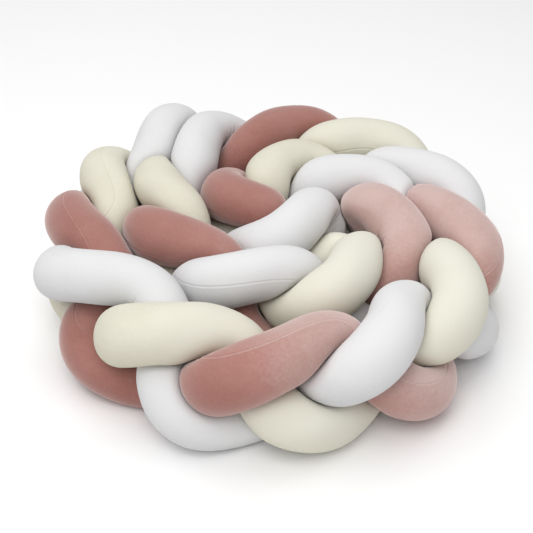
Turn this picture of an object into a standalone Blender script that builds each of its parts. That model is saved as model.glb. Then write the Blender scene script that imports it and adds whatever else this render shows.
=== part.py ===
"""Braided crib bumper: three long stuffed velvet tubes in a plain braid, coiled up on its lower edge.

Metres, +Z up, the floor at Z = 0 and the origin under the middle of the coil's box.  The braid is
seen from above as one line that winds inwards anticlockwise.  Its folds are counted along that
line: at fold 0, 3, 6 ... the white tube turns over the braid's top edge, at 1, 4, 7 ... the cream
one, and at 2, 5, 8 ... the rose one.  Where tubes press on each other or on the floor they go
flat, and swell a little to the sides, as soft filling does.
"""

import math

import bmesh
import bpy
import numpy as np

NAME = "braided_crib_bumper"

TUBE_DIAMETER = 0.060       # a stuffed tube where nothing presses on it
SINK = 0.0024               # how far the tubes settle into the floor where they turn under
DRIFT = 0.008               # how far the core runs ahead and back along the braid while it crosses
CLEARANCE = 0.0014          # between the pressed faces of two tubes
COLOURS = (("white", (0.80, 0.80, 0.80)), ("cream", (0.81, 0.79, 0.66)), ("rose", (0.50, 0.24, 0.20)))

DEPTH = 0.024               # how far a core swings in and out of the braid's middle plane
OUTER_END = (-0.104, 0.268)     # where the braid's middle line starts, behind on the left

# The coil as the braid's middle line runs from there, seen from above.
# fold: place along the braid.  heading: which way it runs, in degrees anticlockwise from +X, and
# on past a full turn.  pitch: the length of braid from one fold to the next.
COIL = (
    # fold, heading, pitch
    (-1.0, -172, 0.078),
    (0.5, -121, 0.102),
    (2.0, -84, 0.117),
    (3.5, -44, 0.126),
    (5.0, 4, 0.123),
    (6.5, 52, 0.114),
    (8.0, 90, 0.113),
    (9.5, 131, 0.117),
    (11.0, 186, 0.118),
    (12.5, 248, 0.120),
    (14.0, 307, 0.114),
    (15.5, 371, 0.106),
    (17.0, 444, 0.100),
    (18.5, 525, 0.110),
    (20.0, 640, 0.093),
    (21.0, 732, 0.093),
    (22.0, 785, 0.068),
)

# How the braid stands along the coil.  The outer round leans in on the inner one at its start,
# and the inner round leans out on the outer one.
# lean: how far the braid's top edge tips outwards, in degrees.
# rise: how far a tube's core swings above and below the braid's middle line.
STANCE = (
    # fold, lean, rise
    (-1.0, -12, 0.050),
    (5.0, -6, 0.045),
    (13.0, 6, 0.050),
    (22.0, 5, 0.041),
)

# Folds that stand out of the even braid, because the tubes were tucked by hand.
# tube: 0 white, 1 cream, 2 rose.  fold: where on it the shift is greatest.  spread: how many
# folds it takes to fade.  out, ahead, up: away from the coil, on along the braid, and upwards.
TUCKS = (
    # tube, fold, spread, out, ahead, up
    (0, 0.0, 0.8, 0.001, -0.018, 0.009),
    (1, 1.0, 0.8, 0.000, 0.005, -0.010),
    (2, 2.0, 0.8, 0.002, 0.004, -0.013),
    (1, 2.4, 0.6, -0.016, 0.000, 0.000),
    (2, 2.6, 0.4, -0.002, 0.000, -0.006),
    (0, 2.7, 0.5, 0.013, 0.000, -0.005),
    (0, 3.3, 0.5, -0.008, 0.000, 0.017),
    (1, 3.4, 0.6, 0.000, 0.018, 0.003),
    (2, 3.4, 0.6, -0.006, 0.000, 0.000),
    (0, 3.9, 0.4, 0.000, 0.014, 0.000),
    (2, 4.4, 0.6, 0.006, 0.000, -0.006),
    (1, 4.8, 0.4, 0.000, -0.006, 0.000),
    (0, 5.0, 0.5, -0.006, 0.000, 0.000),
    (2, 5.4, 0.4, 0.000, 0.000, -0.003),
    (1, 5.5, 0.6, -0.009, 0.000, 0.000),
    (0, 6.4, 0.5, 0.000, -0.004, -0.003),
    (1, 7.5, 0.6, 0.007, -0.008, -0.005),
    (0, 7.5, 0.6, 0.000, 0.010, 0.000),
    (2, 8.1, 0.7, -0.010, 0.000, 0.000),
    (0, 9.0, 0.8, -0.008, 0.000, 0.000),
    (1, 10.0, 0.8, -0.004, 0.000, 0.000),
    (2, 10.6, 0.5, -0.006, 0.000, 0.000),
    (0, 12.0, 0.8, 0.004, 0.000, 0.003),
    (1, 12.6, 0.5, -0.006, 0.000, 0.000),
    (1, 13.0, 0.7, -0.003, 0.000, -0.006),
    (2, 13.7, 0.5, -0.006, 0.000, 0.000),
    (2, 14.5, 0.5, 0.000, -0.004, -0.022),
    (0, 15.5, 0.4, 0.010, 0.000, -0.018),
    (2, 16.1, 0.4, 0.006, 0.004, 0.000),
    (1, 16.4, 0.6, 0.007, -0.012, -0.012),
    (1, 19.0, 0.6, 0.000, -0.005, 0.004),
    (1, 19.5, 0.4, 0.000, -0.004, -0.006),
    (2, 19.8, 0.6, -0.009, 0.000, 0.000),
    (2, 20.1, 0.5, 0.000, 0.004, 0.006),
    (0, 20.3, 0.5, 0.000, 0.013, -0.006),
    (0, 21.4, 0.8, 0.000, 0.004, 0.005),
    (1, 21.8, 0.6, 0.006, -0.016, -0.014),
)
MIDDLE = (-0.0138, 0.0372)  # the middle of the finished coil's box, in the tables' own axes
FIRST_FOLD = -0.6           # where the tubes start, at the coil's outer end
LAST_FOLD = 21.8            # where they end, in the middle of the coil

LINE_POINTS = 6000          # steps in which the middle line is walked
RINGS_PER_FOLD = 6
CORE_POINTS_PER_FOLD = 60   # how finely a neighbour's core is followed
OWN_FOLDS = 1.3             # nearer than this along itself, a tube doesn't press on itself
BEVEL_RESOLUTION = 4        # twelve sides
SIDES = 4 + 2 * BEVEL_RESOLUTION
END_SHAPE = ((0.0, 0.42), (0.10, 0.74), (0.28, 0.93))   # (run, girth) of a closed end, in radii
BEND_SHARE = 0.85           # the inside of a bend keeps this share of the bend's own radius
EDGE_HARDNESS = 10          # how sharply a pressed face turns into the round side
MOST_SWELL = 1.10           # a squeezed ring grows at most this much
WELD_GAP = 1e-6             # corners nearer than this are one
TINY = 1e-9

RADIUS = TUBE_DIAMETER / 2


def clear_scene():
    for old in list(bpy.data.objects):
        bpy.data.objects.remove(old, do_unlink=True)


def smooth_through(places, values):
    """A natural cubic through the rows of a table, as a function of the place along them."""
    count = len(places)
    gaps = np.diff(places)
    slopes = np.diff(values, axis=0) / gaps[:, None]
    matrix = np.eye(count)
    turns = np.zeros_like(values)
    for row in range(1, count - 1):
        matrix[row, row - 1:row + 2] = gaps[row - 1], 2 * (gaps[row - 1] + gaps[row]), gaps[row]
        turns[row] = 6 * (slopes[row] - slopes[row - 1])
    bends = np.linalg.solve(matrix, turns)

    def at(place):
        row = np.clip(np.searchsorted(places, place) - 1, 0, count - 2)
        gap = gaps[row][:, None]
        left = (places[row + 1] - place)[:, None] / gap
        right = 1 - left
        line = left * values[row] + right * values[row + 1]
        curl = (left**3 - left) * bends[row] + (right**3 - right) * bends[row + 1]
        return line + curl * gap**2 / 6

    return at


def coil_line():
    """The braid's middle line, walked fold by fold: across, back, heading, lean and rise there."""
    rows = np.array(COIL, dtype=float)
    folds = np.linspace(rows[0, 0], rows[-1, 0], LINE_POINTS)
    heading, pitch = smooth_through(rows[:, 0], rows[:, 1:])(folds).T
    stances = np.array(STANCE, dtype=float)
    lean, rise = smooth_through(stances[:, 0], stances[:, 1:])(folds).T
    heading = np.radians(heading)
    pace = np.column_stack([pitch * np.cos(heading), pitch * np.sin(heading)])
    walked = (pace[1:] + pace[:-1]) / 2 * (folds[1] - folds[0])
    line = OUTER_END + np.vstack([np.zeros(2), np.cumsum(walked, axis=0)])
    facts = np.column_stack([line, heading, np.radians(lean), rise])
    return lambda fold: [np.interp(fold, folds, fact) for fact in facts.T]


def core_of(strand, folds, coil):
    """The core of one tube: where it runs through the braid, and the braid through the coil."""
    across, back, heading, tip, rise = coil(folds)
    onward = np.column_stack([np.cos(heading), np.sin(heading)])
    outward = np.column_stack([np.sin(heading), -np.cos(heading)])
    phase = 2 * math.pi * (folds - strand) / 3
    lift = rise * np.cos(phase)
    reach = -DEPTH * np.sin(2 * phase)
    ahead = DRIFT * np.sin(2 * phase)
    out = reach * np.cos(tip) + lift * np.sin(tip)
    height = rise + RADIUS - SINK + lift * np.cos(tip) - reach * np.sin(tip)
    for tube, fold, spread, push_out, push_ahead, push_up in TUCKS:
        if tube == strand:
            share = np.exp(-(((folds - fold) / spread) ** 2))
            out = out + push_out * share
            ahead = ahead + push_ahead * share
            height = height + push_up * share
    flat = np.column_stack([across, back]) + outward * out[:, None] + onward * ahead[:, None]
    return np.column_stack([flat - MIDDLE, np.maximum(height, RADIUS - 2 * SINK)])


def ring_folds():
    count = round((LAST_FOLD - FIRST_FOLD) * RINGS_PER_FOLD) + 1
    return np.linspace(FIRST_FOLD, LAST_FOLD, count)


def with_closed_ends(folds, points):
    """Adds rings near both ends, where the tube draws in; returns the folds and girths."""
    pace = [np.linalg.norm(points[1] - points[0]), np.linalg.norm(points[-1] - points[-2])]
    step = folds[1] - folds[0]
    head = [folds[0] + run * RADIUS / pace[0] * step for run, _ in END_SHAPE]
    tail = [folds[-1] - run * RADIUS / pace[1] * step for run, _ in END_SHAPE]
    ends = [girth for _, girth in END_SHAPE]
    folds = np.concatenate([head, folds[1:-1], tail[::-1]])
    girths = np.concatenate([ends, np.ones(len(folds) - 2 * len(ends)), ends[::-1]])
    return folds, girths


def free_reach(centre, rays, neighbours):
    """How far each ray from a ring's centre runs before the face shared with a neighbour."""
    offsets = neighbours - centre
    spans = (offsets**2).sum(axis=1)
    closing = CLEARANCE + rays @ offsets.T
    reach = (spans - CLEARANCE**2) / (2 * np.maximum(closing, TINY))
    return np.where(closing > 0, reach, np.inf).min(axis=1, initial=np.inf)


def with_middles(values, axis, closed=False):
    """The values with their averages put in between, along one axis."""
    values = np.moveaxis(values, axis, 0)
    after = np.roll(values, -1, axis=0)
    woven = np.stack([values, (values + after) / 2], axis=1).reshape(-1, *values.shape[1:])
    return np.moveaxis(woven if closed else woven[:-1], 0, axis)


def facet_reach(points, rays, folds, neighbours_of):
    """The free reach at every corner, small enough for the flat facets around it to be free too."""
    points = with_middles(points, 0)
    folds = with_middles(folds, 0)
    rays = with_middles(with_middles(rays, 0), 1, closed=True)
    rays /= np.linalg.norm(rays, axis=2, keepdims=True)
    fine = np.array([free_reach(*ring[:2], neighbours_of(ring[2])) for ring in zip(points, rays, folds)])
    fine = np.minimum(fine, np.minimum(np.roll(fine, 1, axis=1), np.roll(fine, -1, axis=1)))[:, ::2]
    padded = np.pad(fine, ((1, 1), (0, 0)), mode="edge")
    return np.minimum(fine, np.minimum(padded[:-2], padded[2:]))[::2]


def pressed_ring(centre, rays, limit, bend, girth):
    """The reach of each ray of one ring, flat where something presses and swollen beside it."""
    inward = rays @ bend
    limit = np.minimum(limit, np.where(inward > TINY, BEND_SHARE / np.maximum(inward, TINY), np.inf))
    floor = np.where(rays[:, 2] < -TINY, centre[2] / np.maximum(-rays[:, 2], TINY), np.inf)
    swell = 1.0
    for _ in range(4):
        radius = RADIUS * girth * swell
        reach = (radius**-EDGE_HARDNESS + limit**-EDGE_HARDNESS) ** (-1 / EDGE_HARDNESS)
        reach = np.minimum(reach, floor)
        fullness = (reach**2).mean() / (RADIUS * girth) ** 2
        swell = min(MOST_SWELL, swell / math.sqrt(fullness))
    return reach


def round_tube(name, points, girths):
    """A round tube along the points, with closed ends, as a mesh whose rings keep their order."""
    curve = bpy.data.curves.new(name + "_core", "CURVE")
    curve.dimensions = "3D"
    curve.bevel_depth = RADIUS
    curve.bevel_resolution = BEVEL_RESOLUTION
    curve.use_fill_caps = True
    spline = curve.splines.new("POLY")
    spline.points.add(len(points) - 1)
    for knot, point, girth in zip(spline.points, points, girths):
        knot.co = (*point, 1.0)
        knot.radius = girth
    guide = bpy.data.objects.new(name + "_core", curve)
    bpy.context.scene.collection.objects.link(guide)
    bpy.context.view_layer.update()
    evaluated = guide.evaluated_get(bpy.context.evaluated_depsgraph_get())
    mesh = bpy.data.meshes.new_from_object(evaluated)
    mesh.name = name
    tube = bpy.data.objects.new(name, mesh)
    tube.matrix_world = guide.matrix_world
    bpy.data.objects.remove(guide, do_unlink=True)
    return tube


def press_tube(tube, points, folds, girths, neighbours_of):
    """Moves each ring's corners in or out along its rays, then welds the caps on."""
    mesh = tube.data
    corners = np.empty(len(mesh.vertices) * 3)
    mesh.vertices.foreach_get("co", corners)
    corners = corners.reshape(-1, 3)
    caps = corners[:2 * SIDES]
    rings = corners[2 * SIDES:].reshape(len(points), SIDES, 3)
    ends = (rings[0].copy(), rings[-1].copy())
    ahead = np.gradient(points, axis=0)
    pace = np.linalg.norm(ahead, axis=1, keepdims=True)
    bends = np.gradient(ahead / pace, axis=0) / pace
    rays = rings - points[:, None]
    rays /= np.linalg.norm(rays, axis=2, keepdims=True)
    limits = facet_reach(points, rays, folds, neighbours_of)
    for ring, *facts in zip(rings, points, rays, limits, bends, girths):
        ring[:] = facts[0] + facts[1] * pressed_ring(*facts)[:, None]
    for corner in caps:
        for old, new in zip(ends, (rings[0], rings[-1])):
            gap = np.linalg.norm(old - corner, axis=1)
            if gap.min() < WELD_GAP:
                corner[:] = new[gap.argmin()]
                break
    mesh.vertices.foreach_set("co", corners.ravel())
    welded = bmesh.new()
    welded.from_mesh(mesh)
    bmesh.ops.remove_doubles(welded, verts=welded.verts, dist=WELD_GAP)
    bmesh.ops.triangulate(welded, faces=welded.faces)
    bmesh.ops.recalc_face_normals(welded, faces=welded.faces)
    welded.to_mesh(mesh)
    welded.free()
    mesh.shade_smooth()


def velvet(name, colour):
    material = bpy.data.materials.new("velvet_" + name)
    material.use_nodes = True
    shader = material.node_tree.nodes["Principled BSDF"]
    shader.inputs["Base Color"].default_value = (*colour, 1.0)
    shader.inputs["Roughness"].default_value = 0.9
    shader.inputs["Metallic"].default_value = 0.0
    return material


def build():
    clear_scene()
    collection = bpy.data.collections.new(NAME)
    bpy.context.scene.collection.children.link(collection)
    coil = coil_line()
    count = round((LAST_FOLD - FIRST_FOLD) * CORE_POINTS_PER_FOLD) + 1
    fine_folds = np.linspace(FIRST_FOLD, LAST_FOLD, count)
    cores = [core_of(strand, fine_folds, coil) for strand in range(3)]
    for strand, (colour_name, colour) in enumerate(COLOURS):
        others = np.concatenate([core for other, core in enumerate(cores) if other != strand])

        def neighbours_of(fold, own=cores[strand], others=others):
            return np.concatenate([others, own[np.abs(fine_folds - fold) > OWN_FOLDS]])

        folds = ring_folds()
        folds, girths = with_closed_ends(folds, core_of(strand, folds, coil))
        points = core_of(strand, folds, coil)
        tube = round_tube("strand_" + colour_name, points, girths)
        press_tube(tube, points, folds, girths, neighbours_of)
        tube.data.materials.append(velvet(colour_name, colour))
        collection.objects.link(tube)


build()
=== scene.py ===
"""Looks of the braided crib bumper: three stuffed velvet tubes, braided and coiled on the floor.

Metres, +Z up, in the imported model's frame.  The tubes follow the same cores as the CAD solids, so
each fold lies where its solid does.  What is made here is the fine soft surface: faces that press
flat on each other, puckers inside the bends, the sewn seam along each tube, and the velvet.
"""

import math

import bpy
import numpy as np
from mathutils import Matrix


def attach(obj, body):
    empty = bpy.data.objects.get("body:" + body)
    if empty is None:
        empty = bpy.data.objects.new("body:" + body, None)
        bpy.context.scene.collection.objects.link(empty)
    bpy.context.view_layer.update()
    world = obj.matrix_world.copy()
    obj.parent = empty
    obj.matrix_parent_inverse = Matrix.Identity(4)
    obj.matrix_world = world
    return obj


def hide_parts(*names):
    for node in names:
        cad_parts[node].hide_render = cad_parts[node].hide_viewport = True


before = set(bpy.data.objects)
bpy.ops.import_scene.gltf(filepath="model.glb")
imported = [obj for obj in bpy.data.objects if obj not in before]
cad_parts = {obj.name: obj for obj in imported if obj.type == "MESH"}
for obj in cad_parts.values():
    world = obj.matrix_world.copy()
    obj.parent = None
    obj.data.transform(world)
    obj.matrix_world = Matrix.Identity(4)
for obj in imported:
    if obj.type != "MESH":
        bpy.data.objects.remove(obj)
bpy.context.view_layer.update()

# ---- The braid and its coil, as the CAD solids have them -------------------------------------

STRANDS = 3
TUBE_DIAMETER = 0.060       # a stuffed tube where nothing presses on it
SINK = 0.0024               # how far the tubes settle into the floor where they turn under
DRIFT = 0.008               # how far the core runs ahead and back along the braid while it crosses
CLEARANCE = 0.0005          # between the pressed faces of two tubes

DEPTH = 0.024               # how far a core swings in and out of the braid's middle plane
OUTER_END = (-0.104, 0.268)     # where the braid's middle line starts, behind on the left

# The coil as the braid's middle line runs from there, seen from above.
# fold: place along the braid.  heading: which way it runs, in degrees anticlockwise from +X, and
# on past a full turn.  pitch: the length of braid from one fold to the next.
COIL = (
    # fold, heading, pitch
    (-1.0, -172, 0.078),
    (0.5, -121, 0.102),
    (2.0, -84, 0.117),
    (3.5, -44, 0.126),
    (5.0, 4, 0.123),
    (6.5, 52, 0.114),
    (8.0, 90, 0.113),
    (9.5, 131, 0.117),
    (11.0, 186, 0.118),
    (12.5, 248, 0.120),
    (14.0, 307, 0.114),
    (15.5, 371, 0.106),
    (17.0, 444, 0.100),
    (18.5, 525, 0.110),
    (20.0, 640, 0.093),
    (21.0, 732, 0.093),
    (22.0, 785, 0.068),
)

# How the braid stands along the coil.  The outer round leans in on the inner one at its start,
# and the inner round leans out on the outer one.
# lean: how far the braid's top edge tips outwards, in degrees.
# rise: how far a tube's core swings above and below the braid's middle line.
STANCE = (
    # fold, lean, rise
    (-1.0, -12, 0.050),
    (5.0, -6, 0.045),
    (13.0, 6, 0.050),
    (22.0, 5, 0.041),
)

# Folds that stand out of the even braid, because the tubes were tucked by hand.
# tube: 0 white, 1 cream, 2 rose.  fold: where on it the shift is greatest.  spread: how many
# folds it takes to fade.  out, ahead, up: away from the coil, on along the braid, and upwards.
TUCKS = (
    # tube, fold, spread, out, ahead, up
    (0, 0.0, 0.8, 0.001, -0.018, 0.009),
    (1, 1.0, 0.8, 0.000, 0.005, -0.010),
    (2, 2.0, 0.8, 0.002, 0.004, -0.013),
    (1, 2.4, 0.6, -0.016, 0.000, 0.000),
    (2, 2.6, 0.4, -0.002, 0.000, -0.006),
    (0, 2.7, 0.5, 0.013, 0.000, -0.005),
    (0, 3.3, 0.5, -0.008, 0.000, 0.017),
    (1, 3.4, 0.6, 0.000, 0.018, 0.003),
    (2, 3.4, 0.6, -0.006, 0.000, 0.000),
    (0, 3.9, 0.4, 0.000, 0.014, 0.000),
    (2, 4.4, 0.6, 0.006, 0.000, -0.006),
    (1, 4.8, 0.4, 0.000, -0.006, 0.000),
    (0, 5.0, 0.5, -0.006, 0.000, 0.000),
    (2, 5.4, 0.4, 0.000, 0.000, -0.003),
    (1, 5.5, 0.6, -0.009, 0.000, 0.000),
    (0, 6.4, 0.5, 0.000, -0.004, -0.003),
    (1, 7.5, 0.6, 0.007, -0.008, -0.005),
    (0, 7.5, 0.6, 0.000, 0.010, 0.000),
    (2, 8.1, 0.7, -0.010, 0.000, 0.000),
    (0, 9.0, 0.8, -0.008, 0.000, 0.000),
    (1, 10.0, 0.8, -0.004, 0.000, 0.000),
    (2, 10.6, 0.5, -0.006, 0.000, 0.000),
    (0, 12.0, 0.8, 0.004, 0.000, 0.003),
    (1, 12.6, 0.5, -0.006, 0.000, 0.000),
    (1, 13.0, 0.7, -0.003, 0.000, -0.006),
    (2, 13.7, 0.5, -0.006, 0.000, 0.000),
    (2, 14.5, 0.5, 0.000, -0.004, -0.022),
    (0, 15.5, 0.4, 0.010, 0.000, -0.018),
    (2, 16.1, 0.4, 0.006, 0.004, 0.000),
    (1, 16.4, 0.6, 0.007, -0.012, -0.012),
    (1, 19.0, 0.6, 0.000, -0.005, 0.004),
    (1, 19.5, 0.4, 0.000, -0.004, -0.006),
    (2, 19.8, 0.6, -0.009, 0.000, 0.000),
    (2, 20.1, 0.5, 0.000, 0.004, 0.006),
    (0, 20.3, 0.5, 0.000, 0.013, -0.006),
    (0, 21.4, 0.8, 0.000, 0.004, 0.005),
    (1, 21.8, 0.6, 0.006, -0.016, -0.014),
)
MIDDLE = (-0.0138, 0.0372)  # the middle of the finished coil's box, in the tables' own axes
FIRST_FOLD = -0.6           # where the tubes start, at the coil's outer end
LAST_FOLD = 21.8            # where they end, in the middle of the coil
LINE_POINTS = 6000          # steps in which the middle line is walked
CORE_POINTS_PER_FOLD = 60   # how finely a neighbour's core is followed
OWN_FOLDS = 1.3             # nearer than this along itself, a tube doesn't press on itself
NEIGHBOUR_RADII = 2.6       # a core farther off than this many radii presses on nothing
RADIUS = TUBE_DIAMETER / 2
TINY = 1e-9                 # keeps divisions away from zero

# ---- The soft surface ------------------------------------------------------------------------

RING_COUNT = 1440           # rings along each tube
RUN_POINTS = 4000           # steps in which a tube's run and bends are measured
CROWDING = 1.2              # this share more rings in a full bend
END_RUN = 0.75              # how long a tube's rounded end is, in radii
END_GIRTH = 0.12            # share of the girth left at the very tip
EDGE_HARDNESS = 9           # how sharply a pressed face turns into the round side
BEND_SHARE = 0.88           # the inside of a bend keeps this share of the bend's own radius
MOST_SWELL = 1.13           # a squeezed ring grows at most this much
SWELL_ROUNDS = 4            # times each ring's swelling is set against what presses on it
COARSE_SIDES = 46           # corners around a ring, away from the seam
SEAM_SIDES = 18             # more corners, packed close around the seam
SEAM_REACH = 0.0045         # how far to each side of the seam those corners lie
SEAM_WIDTH = 0.0008         # half the width of the seam's groove
SEAM_LIP = 0.45             # the cloth beside the groove stands up by this share of its depth
SEAM_LIP_PLACE = 0.0021     # how far from the seam it stands up most
EVEN_BEND = 0.18            # bends up to this, as radius over bend radius, leave the cloth smooth
FULL_BEND = 0.65            # from here on it creases fully on the inside
CREASE_SPACING = 0.008      # along the core
CREASE_WIDTH = 0.0013
CREASE_DEPTH = 0.0032
CREASE_JITTER = (0.1, 0.9)      # where in its spacing a crease lies
CREASE_SKEW = 0.3               # how far it slants at most, in radii
CREASE_WIDTHS = (0.8, 1.5)      # shares of the width
CREASE_STRENGTHS = (0.3, 1.0)   # shares of the depth
CREASE_REACH = 5                # spacings beyond which a crease has faded
UNEVENNESS = 0.0007             # the filling isn't quite even
SWELLINGS = 9                   # waves of the filling laid over each other
SWELLING_LENGTHS = (0.05, 0.16)
SWELLING_LOBES = 4              # a wave has fewer lobes than this around the tube
SEED = 11
NAP_SHEEN_BEARING = math.radians(60)  # braid that runs this way shows the pale side of its pile, as painted sheen
NAP_SHEEN_CLIMB = 1.1                 # how much more a tube that climbs shows the deep side, with less painted sheen

# Over how many rings to each side these are evened out.
CROWD_BLUR = 12
BEND_BLUR = 4
SWELL_BLUR = 5
REACH_BLUR = 1.8
NAP_SHEEN_BLUR = 8

# Where each tube's seam runs: turn is its angle around the tube, from straight up towards the
# braid's outer side, in degrees.  It goes on past a full turn where the tube twists.
SEAMS = (
    # tube, fold, turn
    (0, -1.0, 10),
    (0, 3.0, 130),
    (0, 4.5, 200),
    (0, 6.0, 342),
    (0, 9.0, 250),
    (0, 12.0, 170),
    (0, 14.2, 58),
    (0, 15.6, 72),
    (0, 18.0, -95),
    (0, 22.0, -120),
    (1, -1.0, -15),
    (1, 1.0, 2),
    (1, 4.0, -140),
    (1, 7.0, -150),
    (1, 10.0, -80),
    (1, 13.0, -140),
    (1, 16.0, -160),
    (1, 22.0, -60),
    (2, -1.0, 40),
    (2, 2.0, 27),
    (2, 2.5, 48),
    (2, 3.1, 5),
    (2, 3.6, -15),
    (2, 4.3, 5),
    (2, 4.9, 4),
    (2, 5.3, 17),
    (2, 5.7, 36),
    (2, 6.5, 35),
    (2, 8.0, 70),
    (2, 11.0, 110),
    (2, 14.0, 95),
    (2, 17.0, 120),
    (2, 22.0, 60),
)


def smooth_through(places, values):
    """A natural cubic through the rows of a table, as a function of the place along them."""
    count = len(places)
    gaps = np.diff(places)
    slopes = np.diff(values, axis=0) / gaps[:, None]
    matrix = np.eye(count)
    turns = np.zeros_like(values)
    for row in range(1, count - 1):
        matrix[row, row - 1:row + 2] = gaps[row - 1], 2 * (gaps[row - 1] + gaps[row]), gaps[row]
        turns[row] = 6 * (slopes[row] - slopes[row - 1])
    bends = np.linalg.solve(matrix, turns)

    def at(place):
        row = np.clip(np.searchsorted(places, place) - 1, 0, count - 2)
        gap = gaps[row][:, None]
        left = (places[row + 1] - place)[:, None] / gap
        right = 1 - left
        line = left * values[row] + right * values[row + 1]
        curl = (left**3 - left) * bends[row] + (right**3 - right) * bends[row + 1]
        return line + curl * gap**2 / 6

    return at


def coil_line():
    """The braid's middle line, walked fold by fold: across, back, heading, lean and rise there."""
    rows = np.array(COIL, dtype=float)
    folds = np.linspace(rows[0, 0], rows[-1, 0], LINE_POINTS)
    heading, pitch = smooth_through(rows[:, 0], rows[:, 1:])(folds).T
    stances = np.array(STANCE, dtype=float)
    lean, rise = smooth_through(stances[:, 0], stances[:, 1:])(folds).T
    heading = np.radians(heading)
    pace = np.column_stack([pitch * np.cos(heading), pitch * np.sin(heading)])
    walked = (pace[1:] + pace[:-1]) / 2 * (folds[1] - folds[0])
    line = OUTER_END + np.vstack([np.zeros(2), np.cumsum(walked, axis=0)])
    facts = np.column_stack([line, heading, np.radians(lean), rise])
    return lambda fold: [np.interp(fold, folds, fact) for fact in facts.T]


def core_of(strand, folds, coil):
    """The core of one tube: where it runs through the braid, and the braid through the coil."""
    across, back, heading, tip, rise = coil(folds)
    onward = np.column_stack([np.cos(heading), np.sin(heading)])
    outward = np.column_stack([np.sin(heading), -np.cos(heading)])
    phase = 2 * math.pi * (folds - strand) / STRANDS
    lift = rise * np.cos(phase)
    reach = -DEPTH * np.sin(2 * phase)
    ahead = DRIFT * np.sin(2 * phase)
    out = reach * np.cos(tip) + lift * np.sin(tip)
    height = rise + RADIUS - SINK + lift * np.cos(tip) - reach * np.sin(tip)
    for tube, fold, spread, push_out, push_ahead, push_up in TUCKS:
        if tube == strand:
            share = np.exp(-(((folds - fold) / spread) ** 2))
            out = out + push_out * share
            ahead = ahead + push_ahead * share
            height = height + push_up * share
    flat = np.column_stack([across, back]) + outward * out[:, None] + onward * ahead[:, None]
    return np.column_stack([flat - MIDDLE, np.maximum(height, RADIUS - 2 * SINK)])


def pile_lie_and_sheen(heading, along):
    """How pale the pile looks for the way it lies, as painted sheen seen from one fixed bearing:
    palest where a tube runs back and dives.
    """
    return (np.cos(heading - NAP_SHEEN_BEARING) + along[:, 1] - NAP_SHEEN_CLIMB * along[:, 2]) / 2


def unit(vectors):
    return vectors / np.linalg.norm(vectors, axis=-1, keepdims=True)


def blur(values, width):
    """Evens the values out from row to row, over about width rows to each side."""
    reach = int(3 * width) + 1
    steps = np.arange(-reach, reach + 1)
    weights = np.exp(-0.5 * (steps / width) ** 2)
    weights /= weights.sum()
    padding = [(reach, reach)] + [(0, 0)] * (values.ndim - 1)
    padded = np.pad(values, padding, mode="edge")
    return sum(weight * padded[step:step + len(values)] for step, weight in enumerate(weights))


def steps_of(share, low, high):
    """A smooth step from 0 at low to 1 at high."""
    part = np.clip((share - low) / (high - low), 0, 1)
    return part * part * (3 - 2 * part)


def ring_places(strand, coil):
    """Places of the rings along the braid, closest in the bends, and the run to each."""
    folds = np.linspace(FIRST_FOLD, LAST_FOLD, RUN_POINTS)
    points = core_of(strand, folds, coil)
    run = np.concatenate([[0], np.cumsum(np.linalg.norm(np.diff(points, axis=0), axis=1))])
    along = np.gradient(points, run, axis=0)
    bend = np.linalg.norm(np.gradient(along, run, axis=0), axis=1) * RADIUS
    crowd = 1 + CROWDING * blur(steps_of(bend, EVEN_BEND, FULL_BEND), CROWD_BLUR)
    filled = np.concatenate([[0], np.cumsum(np.diff(run) * crowd[1:])])
    even = np.linspace(0, filled[-1], RING_COUNT)
    return np.interp(even, filled, folds), np.interp(even, filled, run)


def closed_end_girth(run):
    """The tube's share of its full girth: round at both ends."""
    edge = np.minimum(run, run[-1] - run)
    inside = np.clip(1 - edge / (END_RUN * RADIUS), 0, 1)
    return np.maximum(np.sqrt(1 - inside**2), END_GIRTH)


def ring_axes(points, run):
    """Along, up and outward directions of each ring, and the core's bend there."""
    along = unit(np.gradient(points, run, axis=0))
    bend = np.gradient(along, run, axis=0)
    upward = unit(np.array([0.0, 0.0, 1.0]) - along * along[:, 2:])
    outward = np.cross(along, upward)
    return along, upward, outward, blur(bend, BEND_BLUR)


def angles_around():
    """The corners' angles from the seam: close together near it, and even elsewhere."""
    reach = SEAM_REACH / RADIUS
    near = np.linspace(-reach, reach, SEAM_SIDES + 1)
    far = np.linspace(reach, 2 * math.pi - reach, COARSE_SIDES + 2)[1:-1]
    return np.concatenate([near, far])


def free_reach(centre, rays, neighbours):
    """How far each ray from a ring's centre runs before the face shared with a neighbour."""
    offsets = neighbours - centre
    spans = (offsets**2).sum(axis=1)
    near = spans < (NEIGHBOUR_RADII * RADIUS) ** 2
    if not near.any():
        return np.full(len(rays), np.inf)
    offsets = offsets[near]
    closing = CLEARANCE + rays @ offsets.T
    reach = (spans[near] - CLEARANCE**2) / (2 * np.maximum(closing, TINY))
    return np.where(closing > 0, reach, np.inf).min(axis=1)


def creases(run, aside, strain, random):
    """Short creases across the inside of the bends, none quite alike."""
    depth = np.zeros_like(strain)
    for number in range(int(run[-1] / CREASE_SPACING)):
        place = (number + random.uniform(*CREASE_JITTER)) * CREASE_SPACING
        skew = random.uniform(-CREASE_SKEW, CREASE_SKEW) * RADIUS
        width = CREASE_WIDTH * random.uniform(*CREASE_WIDTHS)
        strength = random.uniform(*CREASE_STRENGTHS)
        near = np.abs(run - place) < CREASE_REACH * CREASE_SPACING
        offset = run[near, None] + skew * aside[near] - place
        depth[near] += strength * np.exp(-((offset / width) ** 2))
    return CREASE_DEPTH * strain * depth


def fullness(run, turn, random):
    """Low, long swellings of the filling."""
    total = np.zeros_like(turn)
    for _ in range(SWELLINGS):
        length = random.uniform(*SWELLING_LENGTHS)
        lobes = random.integers(0, SWELLING_LOBES)
        shift = random.uniform(0, 2 * math.pi)
        total += np.cos(2 * math.pi * run[:, None] / length + lobes * turn + shift)
    return UNEVENNESS * total / math.sqrt(SWELLINGS)


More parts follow.
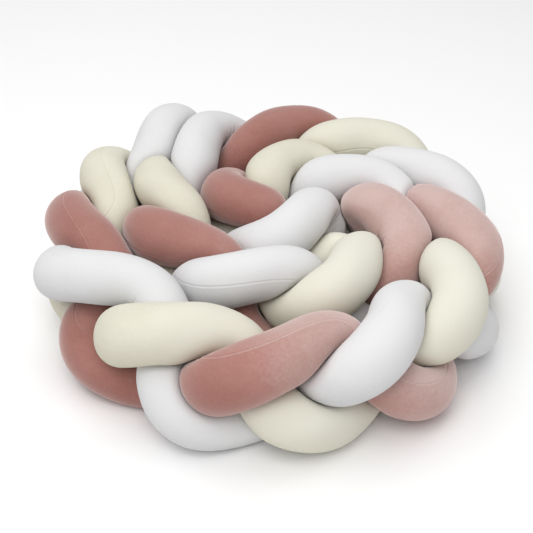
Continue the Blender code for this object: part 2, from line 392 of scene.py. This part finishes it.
def pressed_reach(points, rays, bend, girth, limit, floor, widths):
    """How far each corner lies from its core: flat where something presses, swollen beside it."""
    inward = np.einsum("rsk,rk->rs", rays, bend)
    bend_limit = np.where(inward > TINY, BEND_SHARE / np.maximum(inward, TINY), np.inf)
    limit = np.minimum(limit, bend_limit)
    swell = np.ones(len(points))
    for _ in range(SWELL_ROUNDS):
        radius = (RADIUS * girth * swell)[:, None]
        reach = (radius**-EDGE_HARDNESS + limit**-EDGE_HARDNESS) ** (-1 / EDGE_HARDNESS)
        reach = np.minimum(reach, floor)
        kept = (reach**2 @ widths) / (RADIUS * girth) ** 2
        swell = blur(np.minimum(MOST_SWELL, swell / np.sqrt(kept)), SWELL_BLUR)
    return blur(reach, REACH_BLUR), inward * RADIUS


def build_tube(name, strand, coil, cores, core_folds, seam_depth):
    """One stuffed tube as a mesh, with what its velvet needs to know at each corner."""
    random = np.random.default_rng(SEED + strand)
    folds, run = ring_places(strand, coil)
    points = core_of(strand, folds, coil)
    along, upward, outward, bend = ring_axes(points, run)
    girth = closed_end_girth(run)
    rows = np.array([(fold, math.radians(turn)) for tube, fold, turn in SEAMS if tube == strand])
    seam = smooth_through(rows[:, 0], rows[:, 1:])(folds)[:, 0]
    around = angles_around()
    turn = seam[:, None] + around[None]
    rays = upward[:, None] * np.cos(turn)[..., None] + outward[:, None] * np.sin(turn)[..., None]

    others = np.concatenate([core for other, core in enumerate(cores) if other != strand])
    limit = np.empty(turn.shape)
    for ring, (point, fold) in enumerate(zip(points, folds)):
        own = cores[strand][np.abs(core_folds - fold) > OWN_FOLDS]
        limit[ring] = free_reach(point, rays[ring], np.concatenate([others, own]))
    floor = np.where(rays[..., 2] < -TINY, points[:, 2:] / np.maximum(-rays[..., 2], TINY), np.inf)
    widths = np.diff(around, append=around[0] + 2 * math.pi)
    widths = (widths + np.roll(widths, 1)) / (4 * math.pi)
    reach, bending = pressed_reach(points, rays, bend, girth, limit, floor, widths)

    whole = girth[:, None] ** 2
    strain = steps_of(bending, EVEN_BEND, FULL_BEND) * whole
    aside = np.einsum("rsk,rk->rs", rays, np.cross(along, unit(bend + TINY)))
    reach = reach + fullness(run, turn, random) * whole - creases(run, aside, strain, random)
    beside = np.abs((around + math.pi) % (2 * math.pi) - math.pi) * RADIUS
    groove = np.exp(-((beside / SEAM_WIDTH) ** 2))
    lips = SEAM_LIP * np.exp(-(((beside - SEAM_LIP_PLACE) / SEAM_WIDTH) ** 2))
    reach = reach - seam_depth * (groove - lips)[None] * whole
    reach = np.minimum(reach, np.minimum(floor, limit))

    corners = points[:, None] + rays * reach[..., None]
    rings, sides = turn.shape
    index = np.arange(rings * sides).reshape(rings, sides)
    after = np.roll(index, -1, axis=1)
    quads = np.stack([index[:-1], after[:-1], after[1:], index[1:]], axis=-1).reshape(-1, 4)
    faces = quads.tolist() + [index[0][::-1].tolist(), index[-1].tolist()]
    mesh = bpy.data.meshes.new(name)
    mesh.from_pydata(corners.reshape(-1, 3), [], faces)
    mesh.validate()
    mesh.shade_smooth()

    every_ring = np.ones((rings, 1))
    facts = {
        # the pile's lie, with painted sheen seen from one fixed bearing
        "nap_and_sheen": pile_lie_and_sheen(coil(folds)[2], blur(along, NAP_SHEEN_BLUR))[:, None] * np.ones(sides),
        "beside_seam": every_ring * beside,
        "side_of_seam": every_ring * np.sin(around),
        "strain": strain,
    }
    for key, values in facts.items():
        layer = mesh.attributes.new(key, "FLOAT", "POINT")
        layer.data.foreach_set("value", values.ravel().astype(np.float32))
    straight = np.stack([run[:, None] * np.ones(sides), every_ring * RADIUS * np.cos(around),
                         every_ring * RADIUS * np.sin(around)], axis=-1)
    layer = mesh.attributes.new("on_tube", "FLOAT_VECTOR", "POINT")
    layer.data.foreach_set("vector", straight.ravel().astype(np.float32))
    tube = bpy.data.objects.new(name, mesh)
    bpy.context.scene.collection.objects.link(tube)
    return tube


# ---- Velvet ----------------------------------------------------------------------------------

STITCH_LENGTH = 0.0028
VELVET_ROUGHNESS = 0.9
VELVET_SPECULAR = 0.15
SEAM_FADE = (0.0002, 0.0011)    # between these distances from it the seam's painted highlight or shade and its stitches fade
NAP_SHEEN_RANGE = (-0.45, 0.95)       # from the deep side of the pile to the pale one, its painted sheen included
NAP_SHEEN_TONES = (-0.30, 0.29)       # what each adds to the middle tone
MIDDLE_TONE = 0.5
# Painted shade and light: undersides are painted deeper and tops paler, by how far the surface
# looks up.
FACING_RANGE = (-0.9, 0.9)      # how far a surface looks up, from an underside to a top
TOP_PAINTED_LIGHT = 0.10
SIDE_RANGE = 0.10               # across the seam, one side is a little paler
SIDE_TONE = 0.04
BUMP_STRENGTH = 0.7
BUMP_DISTANCE = 0.0012

# Noise in the tone, coarse to fine: patches, strokes of a hand, and lines in the pile.
TONE_NOISES = (
    # along, around, detail, distortion, low, high, tone
    (16.0, 22.0, 2.0, 0.0, 0.30, 0.70, 0.05),
    (45.0, 30.0, 2.0, 0.6, 0.30, 0.70, 0.03),
    (420.0, 300.0, 1.0, 0.0, 0.25, 0.75, 0.035),
)

# Noise in the bump.  Each is along, around, detail, distortion.
FIBRES = (1500.0, 1100.0, 2.0, 0.0)
FIBRE_HEIGHT = 0.18
WALES = (420.0, 160.0, 1.0, 0.0)
WALE_HEIGHT = 0.06
CRUMPLES = (230.0, 16.0, 2.0, 0.4)  # fine folds, where the cloth is squeezed inside a bend
CRUMPLE_RANGE = (0.42, 0.58)
CRUMPLE_HEIGHT = 0.45


class Nodes:
    """Short ways to add shader nodes to one material."""

    def __init__(self, material):
        self.tree = material.node_tree

    def add(self, kind, **settings):
        node = self.tree.nodes.new(kind)
        for key, value in settings.items():
            setattr(node, key, value)
        return node

    def put(self, value, socket):
        if hasattr(value, "is_linked"):
            self.tree.links.new(value, socket)
        else:
            socket.default_value = value

    def fact(self, key, output="Fac"):
        return self.add("ShaderNodeAttribute", attribute_name=key).outputs[output]

    def noise(self, along, around, detail, distortion):
        """Noise on the tube laid out straight, with this many features a metre each way."""
        stretched = self.add("ShaderNodeVectorMath", operation="MULTIPLY")
        self.put(self.fact("on_tube", "Vector"), stretched.inputs[0])
        self.put((along, around, around), stretched.inputs[1])
        node = self.add("ShaderNodeTexNoise")
        self.put(stretched.outputs[0], node.inputs["Vector"])
        self.put(1.0, node.inputs["Scale"])
        self.put(detail, node.inputs["Detail"])
        self.put(distortion, node.inputs["Distortion"])
        return node.outputs["Fac"]

    def spread(self, value, low, high, to_low=0.0, to_high=1.0):
        node = self.add("ShaderNodeMapRange", interpolation_type="SMOOTHSTEP")
        for key, number in (("Value", value), ("From Min", low), ("From Max", high),
                            ("To Min", to_low), ("To Max", to_high)):
            self.put(number, node.inputs[key])
        return node.outputs["Result"]

    def math(self, operation, *values):
        node = self.add("ShaderNodeMath", operation=operation)
        for socket, value in zip(node.inputs, values):
            self.put(value, socket)
        return node.outputs[0]

    def total(self, *values):
        result = values[0]
        for value in values[1:]:
            result = self.math("ADD", result, value)
        return result

    def ramp(self, share, colours):
        """A colour ramp through (place, colour) stops."""
        node = self.add("ShaderNodeValToRGB")
        stops = node.color_ramp.elements
        while len(stops) < len(colours):
            stops.new(0.5)
        for stop, (place, colour) in zip(stops, colours):
            stop.position = place
            stop.color = (*colour, 1.0)
        self.put(share, node.inputs["Fac"])
        return node.outputs["Color"]


def velvet(name, tones, contrast, sheen, sheen_tint, sheen_roughness, seam_painted_light, stitch,
           underside_painted_shade):
    """Short-pile velvet, whose tone follows the lie of the pile with its painted sheen; undersides
    get painted shade and tops painted light.
    """
    material = bpy.data.materials.new(name)
    material.use_nodes = True
    nodes = Nodes(material)
    shader = material.node_tree.nodes["Principled BSDF"]
    shader.inputs["Roughness"].default_value = VELVET_ROUGHNESS
    shader.inputs["Specular IOR Level"].default_value = VELVET_SPECULAR
    shader.inputs["Sheen Weight"].default_value = sheen
    shader.inputs["Sheen Tint"].default_value = (*sheen_tint, 1.0)
    shader.inputs["Sheen Roughness"].default_value = sheen_roughness

    beside = nodes.fact("beside_seam")
    on_seam = nodes.spread(beside, *SEAM_FADE, 1.0, 0.0)
    # the pile's tone: partly its real lie, partly painted sheen seen from one fixed bearing
    deep, pale = (MIDDLE_TONE + tone * contrast for tone in NAP_SHEEN_TONES)
    pile_and_sheen = nodes.spread(nodes.fact("nap_and_sheen"), *NAP_SHEEN_RANGE, deep, pale)
    # painted shade on undersides and painted light on tops, by how far the surface looks up
    facing = nodes.add("ShaderNodeSeparateXYZ")
    nodes.put(nodes.add("ShaderNodeNewGeometry").outputs["Normal"], facing.inputs[0])
    upward = nodes.spread(facing.outputs[2], *FACING_RANGE, -underside_painted_shade, TOP_PAINTED_LIGHT)
    mottling = [
        nodes.spread(nodes.noise(*features), low, high, -tone * contrast, tone * contrast)
        for *features, low, high, tone in TONE_NOISES
    ]
    side = nodes.spread(nodes.fact("side_of_seam"), -SIDE_RANGE, SIDE_RANGE,
                        SIDE_TONE * contrast, -SIDE_TONE * contrast)
    # painted highlight along the seam where positive, painted shade in its groove where negative
    painted_seam_light = nodes.math("MULTIPLY", on_seam, seam_painted_light)
    tone = nodes.total(pile_and_sheen, upward, *mottling, side, painted_seam_light)
    nodes.put(nodes.ramp(tone, tones), shader.inputs["Base Color"])

    place = nodes.add("ShaderNodeSeparateXYZ")
    nodes.put(nodes.fact("on_tube", "Vector"), place.inputs[0])
    beats = nodes.math("MULTIPLY", place.outputs[0], 2 * math.pi / STITCH_LENGTH)
    beat = nodes.math("SINE", beats)
    stitches = nodes.math("MULTIPLY", nodes.math("MULTIPLY", beat, on_seam), stitch)
    fibres = nodes.math("MULTIPLY", nodes.noise(*FIBRES), FIBRE_HEIGHT)
    wales = nodes.math("MULTIPLY", nodes.noise(*WALES), WALE_HEIGHT)
    fine_folds = nodes.spread(nodes.noise(*CRUMPLES), *CRUMPLE_RANGE)
    squeezed = nodes.math("MULTIPLY", fine_folds, nodes.fact("strain"))
    crumples = nodes.math("MULTIPLY", squeezed, CRUMPLE_HEIGHT)
    bump = nodes.add("ShaderNodeBump")
    bump.inputs["Strength"].default_value = BUMP_STRENGTH
    bump.inputs["Distance"].default_value = BUMP_DISTANCE
    nodes.put(nodes.total(stitches, fibres, wales, crumples), bump.inputs["Height"])
    nodes.put(bump.outputs["Normal"], shader.inputs["Normal"])
    return material


# Each tube's cloth.  seam_depth: of the sewn groove, in metres.  tones: stops of (share, colour),
# from deep to pale.  contrast: how much the pile's lie and its painted sheen show.  The seam's
# painted
# light: painted highlight along the seam where positive, painted shade in it where negative.
# stitch: how much the stitches stand out.  The underside's painted shade: how much deeper an
# underside is.
VELVETS = {
    "white": {
        "seam_depth": 0.00022,
        "tones": (
            (0.05, (0.59, 0.59, 0.60)),
            (0.45, (0.715, 0.715, 0.72)),
            (0.95, (0.745, 0.745, 0.75)),
        ),
        "contrast": 0.6,
        "sheen": 0.10,
        "sheen_tint": (1.0, 1.0, 1.0),
        "sheen_roughness": 0.5,
        "seam_painted_light": -0.03,
        "stitch": 0.08,
        "underside_painted_shade": 0.30,
    },
    "cream": {
        "seam_depth": 0.0003,
        "tones": (
            (0.05, (0.59, 0.555, 0.44)),
            (0.45, (0.715, 0.695, 0.59)),
            (0.95, (0.75, 0.74, 0.65)),
        ),
        "contrast": 0.7,
        "sheen": 0.12,
        "sheen_tint": (1.0, 0.98, 0.9),
        "sheen_roughness": 0.5,
        "seam_painted_light": -0.12,
        "stitch": 0.08,
        "underside_painted_shade": 0.30,
    },
    "rose": {
        "seam_depth": 0.0006,
        "tones": (
            (0.05, (0.28, 0.100, 0.076)),
            (0.5, (0.40, 0.195, 0.165)),
            (0.95, (0.585, 0.42, 0.39)),
        ),
        "contrast": 1.0,
        "sheen": 0.7,
        "sheen_tint": (1.0, 0.90, 0.88),
        "sheen_roughness": 0.5,
        "seam_painted_light": 0.20,
        "stitch": 0.30,
        "underside_painted_shade": 0.18,
    },
}


def make_tubes():
    """The three tubes, each in its own cloth."""
    coil = coil_line()
    count = round((LAST_FOLD - FIRST_FOLD) * CORE_POINTS_PER_FOLD) + 1
    core_folds = np.linspace(FIRST_FOLD, LAST_FOLD, count)
    cores = [core_of(strand, core_folds, coil) for strand in range(STRANDS)]
    for strand, (name, cloth) in enumerate(VELVETS.items()):
        looks = dict(cloth)
        tube = build_tube("tube_" + name, strand, coil, cores, core_folds, looks.pop("seam_depth"))
        tube.data.materials.append(velvet("velvet_" + name, **looks))
        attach(tube, "root")
        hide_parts("strand_" + name)


# ---- Floor, light and camera -----------------------------------------------------------------

CAMERA_TILT = math.radians(35.5)    # below the horizon
CAMERA_DISTANCE = 1.20
CAMERA_TARGET = (-0.008, -0.016, 0.0705)
SENSOR = 36.0                       # in millimetres, as the focal length is
FOCAL = 66.7
FLOOR_SIZE = 8.0
FLOOR_DROP = 0.0002                 # the floor lies this far below the tubes
FLOOR_COLOUR = (0.95, 0.95, 0.95)
SKY_STRENGTH = 0.36
LIGHTS = (
    # name, place, size, watts
    ("top_soft", (-0.4, 0.4, 3.0), (3.6, 3.2), 60.0),
    ("front_soft", (-0.3, -1.4, 2.0), (1.8, 1.4), 26.0),
)


def make_floor():
    bpy.ops.mesh.primitive_plane_add(size=FLOOR_SIZE, location=(0, 0, -FLOOR_DROP))
    floor = bpy.context.object
    floor.name = "floor"
    material = bpy.data.materials.new("floor_white")
    material.use_nodes = True
    shader = material.node_tree.nodes["Principled BSDF"]
    shader.inputs["Base Color"].default_value = (*FLOOR_COLOUR, 1.0)
    shader.inputs["Roughness"].default_value = 1.0
    shader.inputs["Specular IOR Level"].default_value = 0.0
    floor.data.materials.append(material)


def make_lights():
    """Soft rectangular lights that look at the coil's middle, and an even white surround."""
    for name, place, size, watts in LIGHTS:
        data = bpy.data.lights.new(name, "AREA")
        data.shape = "RECTANGLE"
        data.size, data.size_y = size
        data.energy = watts
        light = bpy.data.objects.new(name, data)
        bpy.context.scene.collection.objects.link(light)
        light.location = place
        light.rotation_euler = light.location.to_track_quat("Z", "Y").to_euler()
    world = bpy.data.worlds.new("studio")
    world.use_nodes = True
    background = world.node_tree.nodes["Background"]
    background.inputs["Color"].default_value = (1.0, 1.0, 1.0, 1.0)
    background.inputs["Strength"].default_value = SKY_STRENGTH
    bpy.context.scene.world = world


def make_camera():
    data = bpy.data.cameras.new("camera")
    data.sensor_width = SENSOR
    data.lens = FOCAL
    camera = bpy.data.objects.new("camera", data)
    bpy.context.scene.collection.objects.link(camera)
    back = CAMERA_DISTANCE * math.cos(CAMERA_TILT)
    up = CAMERA_DISTANCE * math.sin(CAMERA_TILT)
    x, y, z = CAMERA_TARGET
    camera.location = (x, y - back, z + up)
    camera.rotation_euler = (math.pi / 2 - CAMERA_TILT, 0, 0)
    bpy.context.scene.camera = camera


make_tubes()
make_floor()
make_lights()
make_camera()
bpy.context.scene.view_settings.view_transform = "Standard"
